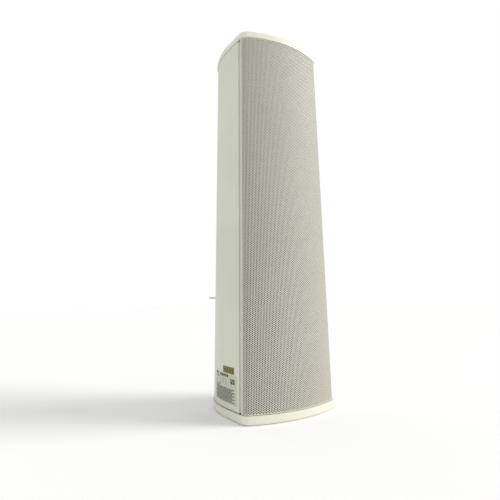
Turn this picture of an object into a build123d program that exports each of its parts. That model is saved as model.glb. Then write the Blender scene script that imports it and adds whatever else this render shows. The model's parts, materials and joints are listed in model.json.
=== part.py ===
"""Column loudspeaker: extruded body, wrap-round grille, end caps, four drivers and two swivel brackets.

Origin: centre of the bottom cap's underside. +Z up the column, -Y towards the listener. Millimetres.
"""

import os
from math import cos, radians, sin, sqrt

from build123d import *

# ---- Body -------------------------------------------------------------------------------------
body_length = 540.0
body_width = 148.0
front_rise = 17.5  # how far the front bows out past its corners
side_depth = 115.0  # front corners to rear face
side_bow = 1.3  # widest point of each side, out past the front corners
widest_y = 0.0
rear_side_radius = 139.0  # the sides curve in behind their widest point
front_corner_r = 12.5
rear_corner_r = 12.0
wall = 2.5

# ---- End caps and gaskets ---------------------------------------------------------------------
cap_band = 11.0
cap_lip = 1.7
cap_edge_r = 3.5
cap_plate = 3.0
cap_rim = 4.2
gasket_height = 1.0
gasket_inset = 0.9

# ---- Grille -----------------------------------------------------------------------------------
grille_gauge = 0.8
grille_end_gap = -0.6  # the sheet runs past the ends of the extrusion, over the gaskets
cloth_end_gap = 0.3
edge_setback = 12.5  # side wall starts this far behind the front corners
grille_return = 7.5  # grille edge stops this far behind the front corners
tongue_front = 5.0  # tongue starts this far behind the front corners
tongue_recess = 2.0
tongue_gauge = 2.0
tongue_overlap = 4.0
seat_back = 7.0  # rib that the grille sits on ends this far behind the front corners
cloth_gap = 0.3
cloth_gauge = 0.6
cloth_return = 4.4  # cloth stops this far behind the front corners

# ---- Baffle -----------------------------------------------------------------------------------
baffle_gauge = 9.0
baffle_setback = 8.75  # baffle front behind the front corners
baffle_half_width = 70.0
baffle_end_gap = 6.0
ledge_gauge = 2.5
ledge_width = 9.0
baffle_screw_x = 66.5

# ---- Drivers ----------------------------------------------------------------------------------
driver_count = 4
driver_pitch = 125.0
cutout_r = 47.5
flange_r = 56.0
flange_inner_r = 44.5
flange_gauge = 2.0
driver_gasket_gauge = 1.0
driver_screw_ring_r = 52.0
basket_depth = 29.0
basket_gauge = 1.2
basket_top_r = 46.0
basket_bottom_r = 28.0
basket_window_width = 24.0
basket_bore_r = 12.0
spider_depth = 21.0
cone_edge_r = 38.0
cone_depth = 18.0
paper_gauge = 0.7
dust_cap_r = 14.0
dust_cap_rise = 4.0
former_r = 10.3
former_gauge = 0.35
coil_r = 10.7
coil_length = 7.0
pole_r = 9.5
gap_r = 11.2
plate_r = 25.0
plate_gauge = 4.0
magnet_inner_r = 15.0
magnet_r = 30.0
magnet_height = 14.0
roll_height = 3.0
roll_gauge = 0.6

# ---- Screws -----------------------------------------------------------------------------------
boss_r = 4.0
boss_hole_r = 2.0
boss_setback = 5.5  # middle of each boss in from the outside face
boss_pad = 1.5  # the caps' own bosses are this much wider
screw_r = 1.95
screw_head_r = 3.6
screw_head_h = 2.4
screw_head_pocket = 3.2
cap_screw_length = 22.0
baffle_screw_length = 11.0
wood_screw_length = 8.0
slot_gauge = 0.9
slot_depth = 1.1

# ---- Rear slot for T-nuts ---------------------------------------------------------------------
slot_mouth = 8.4
slot_inner = 14.0
slot_inner_depth = 6.0
slot_wall = 2.0

# ---- Swivel brackets --------------------------------------------------------------------------
bracket_height = {"lower": 153.0, "upper": 411.0}
arm_swing = {"lower": 34.0, "upper": 0.0}  # degrees from straight back, towards -X
bracket_gauge = 3.0
base_width = 36.0
base_height = 64.0
pivot_standoff = 19.0
arm_play = 0.05
ear_half_width = 13.0
washer_gauge = 1.0
washer_r = 9.0
pivot_r = 3.0
pivot_clearance = 0.08
pivot_head_h = 4.0
pivot_head_r = 5.6
pivot_nut_h = 5.0
arm_centres = 48.0
arm_half_width = 13.0
wall_hole_r = 4.25
fixing_pitch = 44.0
fixing_r = 3.0
fixing_head_r = 5.0
fixing_head_h = 3.2
fixing_hole_r = 3.2
fixing_length = 10.0
slot_nut_size = (13.6, 4.0, 16.0)
slot_nut_hole_r = 3.05

# ---- Inside parts -----------------------------------------------------------------------------
core_size = (18.0, 30.0, 40.0)
winding_size = (34.0, 20.0, 26.0)
core_leg = 11.0
strap_gauge = 1.2
strap_foot_x = 33.0
strap_screw_x = 28.0
strap_width = 12.0
terminal_x = 24.0
terminal_z = 112.0
terminal_size = (13.0, 11.0, 36.0)
terminal_pitch = 8.0
terminal_screw_r = 1.8
gland_x = 24.0
gland_z = 62.0
gland_bore_r = 4.0
gland_thread_r = 7.5
gland_hex_r = 10.5
gland_hex_h = 5.0
gland_stub_r = 6.5
gland_stub_h = 7.0
gland_cap_r = 9.0
gland_cap_end = 4.0
gland_cap_bore_r = 4.6
gland_inside = 12.0
gland_nut_h = 4.0
lead_r = 2.0
tap_r = 1.6
bus_x = 58.0
bus_y = -24.0
tag_size = (7.5, 6.0, 10.0)
wadding_size = (106.0, 36.0, 330.0)
wadding_bottom = 204.0
wadding_gap = 4.0
wadding_edge_r = 8.0

# ---- Data label -------------------------------------------------------------------------------
film = 0.2
label_z = (18.5, 54.0)
label_y = (-30.0, 34.0)
plate_z = (55.0, 63.5)
plate_y = (-24.5, 6.5)

# ---- Worked out from the above ----------------------------------------------------------------
half_width = body_width / 2
body_depth = front_rise + side_depth
front_y = -body_depth / 2
rear_y = body_depth / 2
corner_y = front_y + front_rise
front_radius = (half_width**2 + front_rise**2) / (2 * front_rise)
front_side_radius = ((widest_y - corner_y) ** 2 + side_bow**2) / (2 * side_bow)
widest = half_width + side_bow
rear_corner_y = rear_y - rear_corner_r
rear_corner_x = widest - rear_side_radius + sqrt(
    (rear_side_radius - rear_corner_r) ** 2 - (rear_corner_y - widest_y) ** 2
)
body_bottom = cap_band + gasket_height
body_top = body_bottom + body_length
overall = body_top + gasket_height + cap_band
body_middle = overall / 2
edge_y = corner_y + edge_setback
baffle_front = corner_y + baffle_setback
baffle_back = baffle_front + baffle_gauge
flange_front = baffle_front - driver_gasket_gauge - flange_gauge
flange_back = baffle_front - driver_gasket_gauge
basket_floor = flange_back + basket_depth
plate_front = basket_floor
plate_back = plate_front + plate_gauge
magnet_back = plate_back + magnet_height
driver_heights = [
    body_middle + (index - (driver_count - 1) / 2) * driver_pitch for index in range(driver_count)
]
reach = 400.0  # longer than any cut needs
rear_boss_offset = (rear_corner_r - boss_setback) * cos(radians(45))
boss_spots = [
    (side * x, y)
    for side in (-1, 1)
    for x, y in (
        (half_width - boss_setback, baffle_back + boss_setback),
        (rear_corner_x + rear_boss_offset, rear_corner_y + rear_boss_offset),
    )
]
ledge_x = half_width - (ledge_width + wall) / 2
pivot_y = rear_y + pivot_standoff
inner_rear = rear_y - wall
transformer_z = (driver_heights[0] + driver_heights[1]) / 2
baffle_screw_spots = [
    (side * baffle_screw_x, body_middle + index * driver_pitch) for side in (-1, 1) for index in range(-2, 3)
]


def side_blank(side, grow):
    """What lies inside one side's curve: a flat arc in front of its widest point, a rounder one behind it."""
    with BuildSketch() as blank:
        for arc_radius, towards in ((front_side_radius, -1), (rear_side_radius, 1)):
            with BuildSketch() as half:
                with Locations((side * (widest - arc_radius), widest_y)):
                    Circle(arc_radius + grow)
                with Locations((0, widest_y + towards * reach / 2)):
                    Rectangle(2 * reach, reach, mode=Mode.INTERSECT)
            add(half.sketch)
    return blank.sketch


def section(grow=0.0):
    """The column's cross-section, grown outward by an amount."""
    blanks = [side_blank(side, grow) for side in (-1, 1)]
    with BuildSketch() as outline:
        with Locations((0, front_y + front_radius)):
            Circle(front_radius + grow)
        for blank in blanks:
            add(blank, mode=Mode.INTERSECT)
        with Locations((0, rear_y + grow - reach / 2)):
            Rectangle(reach, reach, mode=Mode.INTERSECT)
        fillet(outline.vertices().group_by(Axis.Y)[0], front_corner_r + grow)
        fillet(outline.vertices().group_by(Axis.Y)[-1], rear_corner_r + grow)
    return outline.sketch


def band(outer_grow, inner_grow, low=None, high=None):
    """A strip that follows the cross-section, kept between two opposite corners if they are given."""
    outer = section(outer_grow)
    inner = section(inner_grow)
    with BuildSketch() as strip:
        add(outer)
        add(inner, mode=Mode.SUBTRACT)
        if low:
            with Locations(((low[0] + high[0]) / 2, (low[1] + high[1]) / 2)):
                Rectangle(high[0] - low[0], high[1] - low[1], mode=Mode.INTERSECT)
    return strip.sketch


def save(builder, label):
    builder.part.label = label
    export_step(builder.part, f"parts/{label}.step")


def turned(points, height):
    """A solid turned about the driver axis, from (radius, y) corners."""
    with BuildPart() as spun:
        with BuildSketch(Plane.XY.offset(height)):
            with BuildLine():
                Polyline(*points, close=True)
            make_face()
        revolve(axis=Axis((0, 0, height), (0, 1, 0)))
    return spun


def screw(origin, direction, length, shank=screw_r, head=screw_head_r, head_height=screw_head_h):
    """A pan-head screw with a driver slot; origin is the middle of the head's underside."""
    seat = Plane(origin=origin, z_dir=direction)
    with BuildPart() as fastener:
        with BuildSketch(seat):
            Circle(shank)
        extrude(amount=length)
        with BuildSketch(seat):
            Circle(head)
        extrude(amount=-head_height)
        with BuildSketch(seat.offset(-head_height)):
            Rectangle(2 * head, slot_gauge)
        extrude(amount=slot_depth, mode=Mode.SUBTRACT)
    return fastener.part


def screw_group(label, places, direction, length, **sizes):
    """One node that holds identical screws as separate solids."""
    with BuildPart() as group:
        for place in places:
            add(screw(place, direction, length, **sizes))
    save(group, label)


def across(x, y, z):
    """A plane that faces the rear, for holes and rings about a front-to-back axis."""
    return Plane(origin=(x, y, z), x_dir=(1, 0, 0), z_dir=(0, 1, 0))


def level(x, y, z):
    """A horizontal plane with its own centre."""
    return Plane(origin=(x, y, z))


os.makedirs("parts", exist_ok=True)

# ---- Enclosure: one extrusion, open at the front ----------------------------------------------
tongues = band(
    -tongue_recess,
    -tongue_recess - tongue_gauge,
    (-reach, corner_y + tongue_front),
    (reach, edge_y + tongue_overlap),
)
grille_seats = band(
    -grille_gauge, -tongue_recess - 0.5, (-reach, corner_y + tongue_front), (reach, corner_y + seat_back)
)
body_walls = band(0, -wall, (-reach, edge_y), (reach, reach))
slot_floor = inner_rear - slot_inner_depth

with BuildPart() as enclosure_shell:
    with BuildSketch(Plane.XY.offset(body_bottom)):
        add(body_walls)
        add(tongues)
        add(grille_seats)
    extrude(amount=body_length)
    with BuildSketch(level(0, 0, body_bottom)):
        with Locations(*[(side * ledge_x, baffle_back + ledge_gauge / 2) for side in (-1, 1)]):
            Rectangle(ledge_width, ledge_gauge)
        with Locations(*boss_spots):
            Circle(boss_r)
        with Locations((0, (slot_floor - slot_wall + inner_rear + 1) / 2)):
            Rectangle(slot_inner + 2 * slot_wall, slot_inner_depth + slot_wall + 1)
    extrude(amount=body_length)
    with BuildSketch(level(0, 0, body_bottom)):
        with Locations(*boss_spots):
            Circle(boss_hole_r)
        with Locations((0, slot_floor + slot_inner_depth / 2)):
            Rectangle(slot_inner, slot_inner_depth)
        with Locations((0, inner_rear + wall / 2)):
            Rectangle(slot_mouth, 2 * wall)
    extrude(amount=body_length, mode=Mode.SUBTRACT)
    with BuildSketch(across(gland_x, inner_rear - 1, gland_z)):
        Circle(gland_thread_r + 0.1)
    extrude(amount=2 * wall, mode=Mode.SUBTRACT)
    with BuildSketch(across(0, baffle_back, 0)):
        with Locations(*[(x, -z) for x, z in baffle_screw_spots]):
            Circle(boss_hole_r)
    extrude(amount=ledge_gauge, mode=Mode.SUBTRACT)
save(enclosure_shell, "enclosure_shell")

# ---- Grille and its cloth ---------------------------------------------------------------------
grille_bottom = body_bottom + grille_end_gap
grille_length = body_length - 2 * grille_end_gap
grille_strip = band(0, -grille_gauge, (-reach, -reach), (reach, corner_y + grille_return))
with BuildPart() as front_grille:
    with BuildSketch(Plane.XY.offset(grille_bottom)):
        add(grille_strip)
    extrude(amount=grille_length)
save(front_grille, "front_grille")

cloth_outer = -grille_gauge - cloth_gap
cloth_strip = band(cloth_outer, cloth_outer - cloth_gauge, (-reach, -reach), (reach, corner_y + cloth_return))
with BuildPart() as grille_cloth:
    with BuildSketch(Plane.XY.offset(body_bottom + cloth_end_gap)):
        add(cloth_strip)
    extrude(amount=body_length - 2 * cloth_end_gap)
save(grille_cloth, "grille_cloth")

# ---- Baffle -----------------------------------------------------------------------------------
driver_screw_step = driver_screw_ring_r * sin(radians(45))
driver_screw_spots = [
    (x * driver_screw_step, height + z * driver_screw_step)
    for height in driver_heights
    for x in (-1, 1)
    for z in (-1, 1)
]
with BuildPart() as front_baffle:
    with BuildSketch(level(0, (baffle_front + baffle_back) / 2, body_bottom + baffle_end_gap)):
        Rectangle(2 * baffle_half_width, baffle_gauge)
    extrude(amount=body_length - 2 * baffle_end_gap)
    with BuildSketch(across(0, baffle_front, 0)):
        with Locations(*[(0, -height) for height in driver_heights]):
            Circle(cutout_r)
        with Locations(*[(x, -z) for x, z in driver_screw_spots]):
            Circle(boss_hole_r)
        with Locations(*[(x, -z) for x, z in baffle_screw_spots]):
            Circle(boss_hole_r)
        with Locations(*[(side * strap_screw_x, -transformer_z) for side in (-1, 1)]):
            Circle(boss_hole_r)
    extrude(amount=baffle_gauge, mode=Mode.SUBTRACT)
save(front_baffle, "front_baffle")

screw_group(
    "baffle_screws",
    [(x, baffle_front, z) for x, z in baffle_screw_spots],
    (0, 1, 0),
    baffle_screw_length,
)


# ---- Caps, gaskets and cap screws -------------------------------------------------------------
def end_cap(label, outside, inward):
    """A moulded cap; outside is the height of its outer face, inward is +1 or -1 along Z."""
    cap_outline = section(cap_lip)
    cap_pocket = section(-cap_rim)
    with BuildPart() as cap:
        with BuildSketch(Plane.XY.offset(outside)):
            add(cap_outline)
        extrude(amount=inward * cap_band)
        rim = cap.faces().sort_by(Axis.Z)[0 if inward > 0 else -1].outer_wire().edges()
        fillet(rim, cap_edge_r)
        with BuildSketch(Plane.XY.offset(outside + inward * cap_plate)):
            add(cap_pocket)
        extrude(amount=inward * (cap_band - cap_plate), mode=Mode.SUBTRACT)
        with BuildSketch(level(0, 0, outside + inward)):
            with Locations(*boss_spots):
                Circle(boss_r + boss_pad)
        extrude(amount=inward * (cap_band - 1))
        with BuildSketch(level(0, 0, outside)):
            with Locations(*boss_spots):
                Circle(screw_head_r + 0.5)
        extrude(amount=inward * screw_head_pocket, mode=Mode.SUBTRACT)
        with BuildSketch(level(0, 0, outside)):
            with Locations(*boss_spots):
                Circle(boss_hole_r)
        extrude(amount=inward * cap_band, mode=Mode.SUBTRACT)
    save(cap, label)


def cap_gasket(label, bottom):
    """A flat seal on the end of the extrusion, with pads round the cap screws."""
    seal = band(-gasket_inset, -cap_rim)
    with BuildPart() as gasket:
        with BuildSketch(Plane.XY.offset(bottom)):
            add(seal)
            with Locations(*boss_spots):
                Circle(boss_r)
                Circle(boss_hole_r, mode=Mode.SUBTRACT)
        extrude(amount=gasket_height)
    save(gasket, label)


end_cap("bottom_cap", 0, 1)
end_cap("top_cap", overall, -1)
cap_gasket("bottom_gasket", cap_band)
cap_gasket("top_gasket", body_top)
screw_group(
    "bottom_cap_screws", [(x, y, screw_head_pocket) for x, y in boss_spots], (0, 0, 1), cap_screw_length
)
screw_group(
    "top_cap_screws",
    [(x, y, overall - screw_head_pocket) for x, y in boss_spots],
    (0, 0, -1),
    cap_screw_length,
)


# ---- Drivers ----------------------------------------------------------------------------------
def basket(label, height):
    """The pressed steel frame: flange, sloping wall with four windows, floor ring and a tag."""
    profile = [
        (flange_inner_r, flange_front),
        (flange_r, flange_front),
        (flange_r, flange_back),
        (basket_top_r, flange_back),
        (basket_bottom_r, basket_floor),
        (basket_bore_r, basket_floor),
        (basket_bore_r, basket_floor - basket_gauge),
        (basket_bottom_r - basket_gauge, basket_floor - basket_gauge),
        (flange_inner_r, flange_back),
    ]
    window_depth = basket_depth - 8
    tag_x = bus_x - 14
    with BuildPart() as frame:
        add(turned(profile, height).part)
        for turn in (45, 135):
            with BuildSketch(across(0, flange_back + 4, height).rotated((0, 0, turn))):
                Rectangle(2.2 * cutout_r, basket_window_width)
            extrude(amount=window_depth, mode=Mode.SUBTRACT)
        with BuildSketch(across(0, flange_front, height)):
            with GridLocations(2 * driver_screw_step, 2 * driver_screw_step, 2, 2):
                Circle(boss_hole_r)
        extrude(amount=flange_gauge, mode=Mode.SUBTRACT)
        with BuildSketch(across(tag_x - tag_size[0] / 2, bus_y - tag_size[1] / 2, height)):
            Rectangle(tag_size[0], tag_size[2])
        extrude(amount=tag_size[1])
    save(frame, label)


def motor(label, height):
    """Magnet ring between two plates, with the pole in the middle."""
    profile = [
        (0, plate_front),
        (pole_r, plate_front),
        (pole_r, magnet_back),
        (magnet_inner_r, magnet_back),
        (magnet_inner_r, plate_back),
        (gap_r, plate_back),
        (gap_r, plate_front),
        (plate_r, plate_front),
        (plate_r, plate_back),
        (magnet_r, plate_back),
        (magnet_r, magnet_back),
        (plate_r, magnet_back),
        (plate_r, magnet_back + plate_gauge),
        (0, magnet_back + plate_gauge),
    ]
    save(turned(profile, height), label)


def dome_middle(pole, rim_radius, rim):
    """A point half-way out along an arc that is centred on the driver axis."""
    rise = rim - pole
    sphere_radius = (rim_radius**2 + rise**2) / (2 * rise)
    return (rim_radius / 2, pole + sphere_radius - sqrt(sphere_radius**2 - rim_radius**2 / 4))


def cone(label, height):
    """Paper cone, dust cap, voice-coil former and coil, which move together."""
    edge = flange_front + 0.4
    neck = edge + cone_depth
    coil_front = plate_front - (coil_length - plate_gauge) / 2
    former_inner = former_r - former_gauge

    def paper_front(radius):
        return neck - (radius - former_inner) / (cone_edge_r - former_inner) * cone_depth

    seat = paper_front(dust_cap_r)
    crown = seat - dust_cap_rise
    inner_seat_r = dust_cap_r - paper_gauge
    inner_seat = paper_front(inner_seat_r)
    with BuildPart() as moving:
        with BuildSketch(Plane.XY.offset(height)):
            with BuildLine():
                ThreePointArc((0, crown), dome_middle(crown, dust_cap_r, seat), (dust_cap_r, seat))
                Polyline(
                    (dust_cap_r, seat),
                    (cone_edge_r, edge),
                    (cone_edge_r, edge + paper_gauge),
                    (former_r, neck + paper_gauge),
                    (former_r, coil_front),
                    (coil_r, coil_front),
                    (coil_r, coil_front + coil_length),
                    (former_inner, coil_front + coil_length),
                    (former_inner, neck),
                    (inner_seat_r, inner_seat),
                )
                ThreePointArc(
                    (inner_seat_r, inner_seat),
                    dome_middle(crown + paper_gauge, inner_seat_r, inner_seat),
                    (0, crown + paper_gauge),
                )
                Line((0, crown + paper_gauge), (0, crown))
            make_face()
        revolve(axis=Axis((0, 0, height), (0, 1, 0)))
    save(moving, label)


def surround(label, height):
    """Half-roll rubber edge between the cone and the flange."""
    inner = cone_edge_r + 0.1
    outer = flange_inner_r + 0.2
    crest = (inner + outer) / 2
    land = outer + 3.3
    with BuildPart() as roll:
        with BuildSketch(Plane.XY.offset(height)):
            with BuildLine():
                ThreePointArc(
                    (inner, flange_front),
                    (crest, flange_front - roll_height),
                    (outer, flange_front - roll_gauge),
                )
                Polyline(
                    (outer, flange_front - roll_gauge),
                    (land, flange_front - roll_gauge),
                    (land, flange_front),
                    (outer - roll_gauge, flange_front),
                )
                ThreePointArc(
                    (outer - roll_gauge, flange_front),
                    (crest, flange_front - roll_height + roll_gauge),
                    (inner + roll_gauge, flange_front),
                )
                Line((inner + roll_gauge, flange_front), (inner, flange_front))
            make_face()
        revolve(axis=Axis((0, 0, height), (0, 1, 0)))
    save(roll, label)


def spider(label, height):
    """Corrugated disc that centres the voice coil."""
    inner = former_r + 0.05
    outer = 30.4
    middle = flange_back + spider_depth
    folds = 8
    waves = [
        (inner + (outer - inner) * index / folds, middle + (0.8 if index % 2 else -0.8) * (0 < index < folds))
        for index in range(folds + 1)
    ]
    save(turned(waves + [(r, y + roll_gauge) for r, y in reversed(waves)], height), label)


for number, height in enumerate(driver_heights, start=1):
    basket(f"driver_basket_{number}", height)
    motor(f"driver_magnet_{number}", height)
    cone(f"driver_cone_{number}", height)
    surround(f"driver_surround_{number}", height)
    spider(f"driver_spider_{number}", height)

with BuildPart() as driver_gaskets:
    with BuildSketch(across(0, flange_back, 0)):
        with Locations(*[(0, -height) for height in driver_heights]):
            Circle(flange_r - 0.5)
            Circle(cutout_r, mode=Mode.SUBTRACT)
        with Locations(*[(x, -z) for x, z in driver_screw_spots]):
            Circle(boss_hole_r, mode=Mode.SUBTRACT)
    extrude(amount=driver_gasket_gauge)
save(driver_gaskets, "driver_gaskets")
screw_group(
    "driver_screws", [(x, flange_front, z) for x, z in driver_screw_spots], (0, 1, 0), wood_screw_length
)

# ---- Line transformer on the back of the baffle -----------------------------------------------
core_middle = baffle_back + core_size[1] / 2
with BuildPart() as transformer_winding:
    with Locations((0, core_middle, transformer_z)):
        Box(*winding_size)
        Box(core_size[0], core_leg, winding_size[2], mode=Mode.SUBTRACT)
save(transformer_winding, "transformer_winding")

with BuildPart() as transformer_core:
    with Locations((0, core_middle, transformer_z)):
        Box(*core_size)
        Box(core_size[0], winding_size[1], winding_size[2], mode=Mode.SUBTRACT)
        Box(core_size[0], core_leg, winding_size[2])
save(transformer_core, "transformer_core")

strap_leg_x = winding_size[0] / 2 + strap_gauge / 2
strap_back = baffle_back + core_size[1]
with BuildPart() as transformer_strap:
    with Locations((0, strap_back + strap_gauge / 2, transformer_z)):
        Box(2 * strap_leg_x + strap_gauge, strap_gauge, strap_width)
    with Locations(*[(side * strap_leg_x, core_middle, transformer_z) for side in (-1, 1)]):
        Box(strap_gauge, core_size[1], strap_width)
    foot_length = strap_foot_x - strap_leg_x
    foot_x = strap_leg_x + foot_length / 2
    with Locations(*[(side * foot_x, baffle_back + strap_gauge / 2, transformer_z) for side in (-1, 1)]):
        Box(foot_length, strap_gauge, strap_width)
    with BuildSketch(across(0, baffle_back, transformer_z)):
        with Locations((-strap_screw_x, 0), (strap_screw_x, 0)):
            Circle(boss_hole_r)
    extrude(amount=strap_gauge, mode=Mode.SUBTRACT)
save(transformer_strap, "transformer_strap")
screw_group(
    "transformer_screws",
    [(side * strap_screw_x, baffle_back + strap_gauge, transformer_z) for side in (-1, 1)],
    (0, -1, 0),
    wood_screw_length,
)

# ---- Terminal block, gland and wiring ---------------------------------------------------------
terminal_front = inner_rear - terminal_size[1]
terminal_spots = [(0, (index - 1.5) * terminal_pitch) for index in range(4)]
with BuildPart() as terminal_block:
    with Locations((terminal_x, inner_rear - terminal_size[1] / 2, terminal_z)):
        Box(*terminal_size)
    with BuildSketch(across(terminal_x, terminal_front, terminal_z)):
        with Locations(*terminal_spots):
            Circle(terminal_screw_r + 0.3)
    extrude(amount=5, mode=Mode.SUBTRACT)
save(terminal_block, "terminal_block")
with BuildPart() as terminal_screws:
    with BuildSketch(across(terminal_x, terminal_front + 2, terminal_z)):
        with Locations(*terminal_spots):
            Circle(terminal_screw_r)
    extrude(amount=3)
save(terminal_screws, "terminal_screws")

stub_end = rear_y + gland_hex_h + gland_stub_h
with BuildPart() as cable_gland:
    with BuildSketch(across(gland_x, rear_y, gland_z)):
        RegularPolygon(gland_hex_r, 6)
    extrude(amount=gland_hex_h)
    with BuildSketch(across(gland_x, rear_y + gland_hex_h, gland_z)):
        Circle(gland_stub_r)
    extrude(amount=gland_stub_h)
    with BuildSketch(across(gland_x, rear_y - gland_inside, gland_z)):
        Circle(gland_thread_r)
    extrude(amount=gland_inside)
    with BuildSketch(across(gland_x, rear_y - gland_inside, gland_z)):
        Circle(gland_bore_r)
    extrude(amount=stub_end - rear_y + gland_inside, mode=Mode.SUBTRACT)
save(cable_gland, "cable_gland")
with BuildPart() as gland_cap:
    with BuildSketch(across(gland_x, rear_y + gland_hex_h, gland_z)):
        Circle(gland_cap_r)
        Circle(gland_stub_r + 0.05, mode=Mode.SUBTRACT)
    extrude(amount=gland_stub_h)
    with BuildSketch(across(gland_x, stub_end, gland_z)):
        Circle(gland_cap_r)
        Circle(gland_cap_bore_r, mode=Mode.SUBTRACT)
    extrude(amount=gland_cap_end)
    fillet(gland_cap.faces().sort_by(Axis.Y)[-1].outer_wire().edges(), 2.5)
save(gland_cap, "gland_cap")
with BuildPart() as gland_nut:
    with BuildSketch(across(gland_x, inner_rear - gland_nut_h, gland_z)):
        RegularPolygon(gland_hex_r, 6)
        Circle(gland_thread_r + 0.05, mode=Mode.SUBTRACT)
    extrude(amount=gland_nut_h)
save(gland_nut, "gland_nut")

lead_start = (terminal_x, inner_rear - terminal_size[1] / 2, terminal_z + terminal_size[2] / 2)
lead_bend = (terminal_x, lead_start[1], transformer_z - 10)
lead_end = (winding_size[0] / 2 - 4, core_middle + winding_size[1] / 2 + 0.3, transformer_z - 10)
with BuildPart() as supply_lead:
    with BuildLine():
        FilletPolyline(lead_start, lead_bend, lead_end, radius=0.45 * (lead_bend[2] - lead_start[2]))
    with BuildSketch(level(*lead_start)):
        Circle(tap_r)
    sweep()
save(supply_lead, "supply_lead")

with BuildPart() as driver_wiring:
    with BuildSketch(level(bus_x, bus_y, driver_heights[0] - lead_r)):
        Circle(lead_r)
    extrude(amount=driver_heights[-1] - driver_heights[0] + 2 * lead_r)
    taps = [(bus_x - 14, height) for height in driver_heights] + [(winding_size[0] / 2, transformer_z + 11)]
    for end_x, height in taps:
        with BuildSketch(Plane(origin=(end_x, bus_y, height), z_dir=(1, 0, 0))):
            Circle(tap_r)
        extrude(amount=bus_x - end_x)
save(driver_wiring, "driver_wiring")

wadding_middle = magnet_back + plate_gauge + wadding_gap + wadding_size[1] / 2
with BuildPart() as damping_wadding:
    with Locations((0, wadding_middle, wadding_bottom + wadding_size[2] / 2)):
        Box(*wadding_size)
    fillet(damping_wadding.edges(), wadding_edge_r)
save(damping_wadding, "damping_wadding")


# ---- Data label and small plate on the left side ----------------------------------------------
def side_film(label, y_range, z_range):
    """A thin film that follows the left side wall."""
    strip = band(film, 0, (-reach, y_range[0]), (0, y_range[1]))
    with BuildPart() as patch:
        with BuildSketch(Plane.XY.offset(z_range[0])):
            add(strip)
        extrude(amount=z_range[1] - z_range[0])
    save(patch, label)


side_film("rating_label", label_y, label_z)
side_film("label_plate", plate_y, plate_z)


# ---- Swivel brackets --------------------------------------------------------------------------
ear_inner = bracket_gauge / 2 + arm_play + washer_gauge
ear_outer = ear_inner + bracket_gauge
pivot_hole_r = pivot_r + pivot_clearance


def bracket_base(label, height):
    """Plate on the rear face with two ears that hold the arm."""
    with BuildPart() as base:
        with BuildSketch(across(0, rear_y, height)):
            RectangleRounded(base_width, base_height, 5)
            with Locations((0, -fixing_pitch / 2), (0, fixing_pitch / 2)):
                Circle(fixing_hole_r, mode=Mode.SUBTRACT)
        extrude(amount=bracket_gauge)
        for bottom in (height - ear_outer, height + ear_inner):
            with BuildSketch(level(0, pivot_y, bottom)):
                Circle(ear_half_width)
                with Locations((0, -(pivot_standoff - 1) / 2)):
                    Rectangle(2 * ear_half_width, pivot_standoff - 1)
                Circle(pivot_hole_r, mode=Mode.SUBTRACT)
            extrude(amount=bracket_gauge)
    save(base, label)


def bracket_arm(label, height, swing):
    """Flat arm with the pivot hole at one end and the wall bolt's hole at the other."""
    heading = (-sin(radians(swing)), cos(radians(swing)), 0)
    with BuildPart() as arm:
        with BuildSketch(Plane(origin=(0, pivot_y, height - bracket_gauge / 2), x_dir=heading)):
            with Locations((arm_centres / 2, 0)):
                SlotCenterToCenter(arm_centres, 2 * arm_half_width)
            Circle(pivot_hole_r, mode=Mode.SUBTRACT)
            with Locations((arm_centres, 0)):
                Circle(wall_hole_r, mode=Mode.SUBTRACT)
        extrude(amount=bracket_gauge)
    save(arm, label)


def pivot_bolt(label, height):
    with BuildPart() as bolt:
        with BuildSketch(level(0, pivot_y, height - ear_outer - pivot_nut_h - 1.5)):
            Circle(pivot_r)
        extrude(amount=2 * ear_outer + pivot_nut_h + 1.5)
        with BuildSketch(level(0, pivot_y, height + ear_outer)):
            RegularPolygon(pivot_head_r, 6)
        extrude(amount=pivot_head_h)
    save(bolt, label)


def pivot_nut(label, height):
    with BuildPart() as nut:
        with BuildSketch(level(0, pivot_y, height - ear_outer - pivot_nut_h)):
            RegularPolygon(pivot_head_r, 6)
            Circle(pivot_hole_r, mode=Mode.SUBTRACT)
        extrude(amount=pivot_nut_h)
    save(nut, label)


def pivot_washers(label, height):
    with BuildPart() as washers:
        for bottom in (height - ear_inner, height + ear_inner - washer_gauge):
            with BuildSketch(level(0, pivot_y, bottom)):
                Circle(washer_r)
                Circle(pivot_hole_r, mode=Mode.SUBTRACT)
            extrude(amount=washer_gauge)
    save(washers, label)


for name, height in bracket_height.items():
    bracket_base(f"{name}_bracket_base", height)
    bracket_arm(f"{name}_bracket_arm", height, arm_swing[name])
    pivot_bolt(f"{name}_pivot_bolt", height)
    pivot_nut(f"{name}_pivot_nut", height)
    pivot_washers(f"{name}_pivot_washers", height)

fixing_heights = [height + step * fixing_pitch / 2 for height in bracket_height.values() for step in (-1, 1)]
screw_group(
    "bracket_screws",
    [(0, rear_y + bracket_gauge, height) for height in fixing_heights],
    (0, -1, 0),
    fixing_length,
    shank=fixing_r,
    head=fixing_head_r,
    head_height=fixing_head_h,
)
with BuildPart() as slot_nuts:
    for height in fixing_heights:
        with Locations((0, inner_rear - slot_nut_size[1] / 2, height)):
            Box(*slot_nut_size)
        with BuildSketch(across(0, inner_rear - slot_nut_size[1], height)):
            Circle(slot_nut_hole_r)
        extrude(amount=slot_nut_size[1], mode=Mode.SUBTRACT)
save(slot_nuts, "slot_nuts")
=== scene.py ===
"""Column loudspeaker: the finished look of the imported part, in metres and in the part's own frame."""

import json
import math
import random
from functools import partial

import bmesh
import bpy
from mathutils import Euler, Matrix, Vector


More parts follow.
